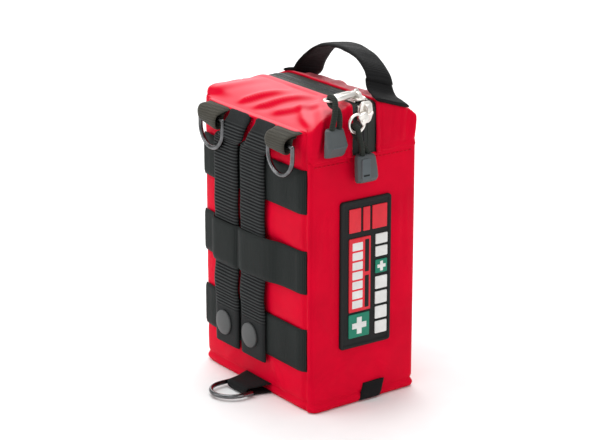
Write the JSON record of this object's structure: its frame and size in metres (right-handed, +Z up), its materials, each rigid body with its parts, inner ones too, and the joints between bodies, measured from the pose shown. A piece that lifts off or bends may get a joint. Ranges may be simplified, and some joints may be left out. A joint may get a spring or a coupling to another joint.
{
  "type": "first aid kit",
  "caption": "Soft upright first aid pouch with a centre zip over the top, webbing rows with snap straps, D-rings, a carry handle and packed dressings inside.",
  "frame": {"origin": "centre of the rectangular base, on the face that rests on the floor", "axes": "+Z up, +X out of the narrow side that carries the label, -Y out of the wide side that carries the webbing rows and snap straps"},
  "size_m": [0.1175, 0.1073, 0.1994],
  "materials": {
    "red_nylon": "woven red nylon, padded",
    "row_webbing": "charcoal woven webbing",
    "strap_webbing": "ribbed black webbing",
    "ring_webbing": "olive grey webbing",
    "handle_webbing": "black webbing",
    "zip_tape": "black woven zip tape",
    "zip_coil": "black nylon coil",
    "nickel": "nickel plated zinc",
    "pull_cord": "braided black cord",
    "grip_plastic": "moulded grey plastic",
    "ring_metal": "black plated steel wire",
    "snap_enamel": "grey enamelled snap cap",
    "snap_brass": "blackened brass snap",
    "label_rubber": "moulded black rubber patch",
    "label_print": "raised coloured rubber print",
    "lining_mesh": "black mesh pocket fabric",
    "cotton_crepe": "woven cotton crepe",
    "sterile_wrap": "heat sealed paper wrap",
    "foil_film": "folded metallised film",
    "carton": "printed white carton",
    "glove_film": "clear film over blue gloves",
    "tape_paper": "white paper tape",
    "ampoule_plastic": "clear plastic ampoule",
    "stainless": "brushed stainless steel",
    "shear_plastic": "black moulded plastic"
  },
  "bodies": {
    "pouch": {"back_panel": "red_nylon", "front_panel": "red_nylon", "label_side_panel": "red_nylon", "plain_side_panel": "red_nylon", "bottom_panel": "red_nylon", "zip_gussets_near": "red_nylon", "zip_gussets_far": "red_nylon", "molle_row_upper": "row_webbing", "molle_row_middle": "row_webbing", "molle_row_lower": "row_webbing", "side_tab": "row_webbing", "strap_left": "strap_webbing", "strap_right": "strap_webbing", "ring_loop_left": "ring_webbing", "ring_loop_right": "ring_webbing", "ring_loop_base": "ring_webbing", "zip_ends": "zip_tape", "snap_studs": "snap_brass", "label_patch": "label_rubber", "label_print": "label_print", "divider_panel": "lining_mesh", "crepe_bandages": "cotton_crepe", "triangular_bandage": "cotton_crepe", "trauma_dressing": "sterile_wrap", "gauze_swabs": "sterile_wrap", "foil_blanket": "foil_film", "adhesive_strip_box": "carton", "glove_pack": "glove_film", "tape_roll": "tape_paper", "saline_ampoules": "ampoule_plastic", "shear_blades": "stainless", "shear_pivot": "stainless", "tweezers": "stainless", "shear_handles": "shear_plastic"},
    "back_flap": {"back_flap_panel": "red_nylon", "back_zip_tape": "zip_tape", "back_zip_coil": "zip_coil", "slider_upper": "nickel"},
    "front_flap": {"front_flap_panel": "red_nylon", "front_zip_tape": "zip_tape", "front_zip_coil": "zip_coil", "handle_anchors": "handle_webbing"},
    "handle": {"carry_handle": "handle_webbing"},
    "slider_lower": {"slider_lower": "nickel"},
    "pull_upper": {"pull_upper": "nickel"},
    "pull_lower": {"pull_lower": "nickel"},
    "loop_upper": {"cord_upper": "pull_cord", "grip_upper": "grip_plastic"},
    "loop_lower": {"cord_lower": "pull_cord", "grip_lower": "grip_plastic"},
    "ring_left": {"d_ring_left": "ring_metal"},
    "ring_right": {"d_ring_right": "ring_metal"},
    "ring_base": {"d_ring_base": "ring_metal"},
    "tip_left": {"strap_tip_left": "strap_webbing", "snap_socket_left": "snap_brass", "snap_cap_left": "snap_enamel"},
    "tip_right": {"strap_tip_right": "strap_webbing", "snap_socket_right": "snap_brass", "snap_cap_right": "snap_enamel"}
  },
  "joints": [
    {"name": "back_flap_fold", "type": "hinge", "parent": "pouch", "child": "back_flap", "pos_m": [0, -0.0375, 0.165], "axis": [1, 0, 0], "range_deg": [0, 70]},
    {"name": "front_flap_fold", "type": "hinge", "parent": "pouch", "child": "front_flap", "pos_m": [0, 0.0375, 0.165], "axis": [-1, 0, 0], "range_deg": [0, 70]},
    {"name": "handle_tilt", "type": "hinge", "parent": "front_flap", "child": "handle", "pos_m": [0, 0.019, 0.178], "axis": [-1, 0, 0], "range_deg": [-10, 38]},
    {"name": "slider_lower_slide", "type": "slide", "parent": "back_flap", "child": "slider_lower", "axis": [0, 0, 1], "range_m": [-0.018, 0]},
    {"name": "pull_upper_lift", "type": "hinge", "parent": "back_flap", "child": "pull_upper", "pos_m": [0.046, 0, 0.1812], "axis": [-1, 0, 0], "range_deg": [0, 60]},
    {"name": "pull_lower_swing", "type": "hinge", "parent": "slider_lower", "child": "pull_lower", "pos_m": [0.0586, 0, 0.172], "axis": [0, 0, 1], "range_deg": [0, 100]},
    {"name": "loop_upper_swing", "type": "hinge", "parent": "pull_upper", "child": "loop_upper", "pos_m": [0.05395, -0.022, 0.1812], "axis": [0, -1, 0], "range_deg": [0, 45]},
    {"name": "loop_lower_swing", "type": "hinge", "parent": "pull_lower", "child": "loop_lower", "pos_m": [0.0586, -0.0105, 0.16355], "axis": [0, -1, 0], "range_deg": [0, 60]},
    {"name": "ring_left_swing", "type": "hinge", "parent": "pouch", "child": "ring_left", "pos_m": [-0.0345, -0.0438, 0.1564], "axis": [-1, 0, 0], "range_deg": [0, 140]},
    {"name": "ring_right_swing", "type": "hinge", "parent": "pouch", "child": "ring_right", "pos_m": [0.035, -0.0438, 0.1564], "axis": [-1, 0, 0], "range_deg": [0, 140]},
    {"name": "ring_base_lift", "type": "hinge", "parent": "pouch", "child": "ring_base", "pos_m": [0.003, -0.0505, 0.0028], "axis": [-1, 0, 0], "range_deg": [0, 85]},
    {"name": "tip_left_unsnap", "type": "hinge", "parent": "pouch", "child": "tip_left", "pos_m": [-0.0245, -0.0406, 0.0686], "axis": [-1, 0, 0], "range_deg": [0, 85]},
    {"name": "tip_right_unsnap", "type": "hinge", "parent": "pouch", "child": "tip_right", "pos_m": [0.0025, -0.0406, 0.0686], "axis": [-1, 0, 0], "range_deg": [0, 85]}
  ]
}
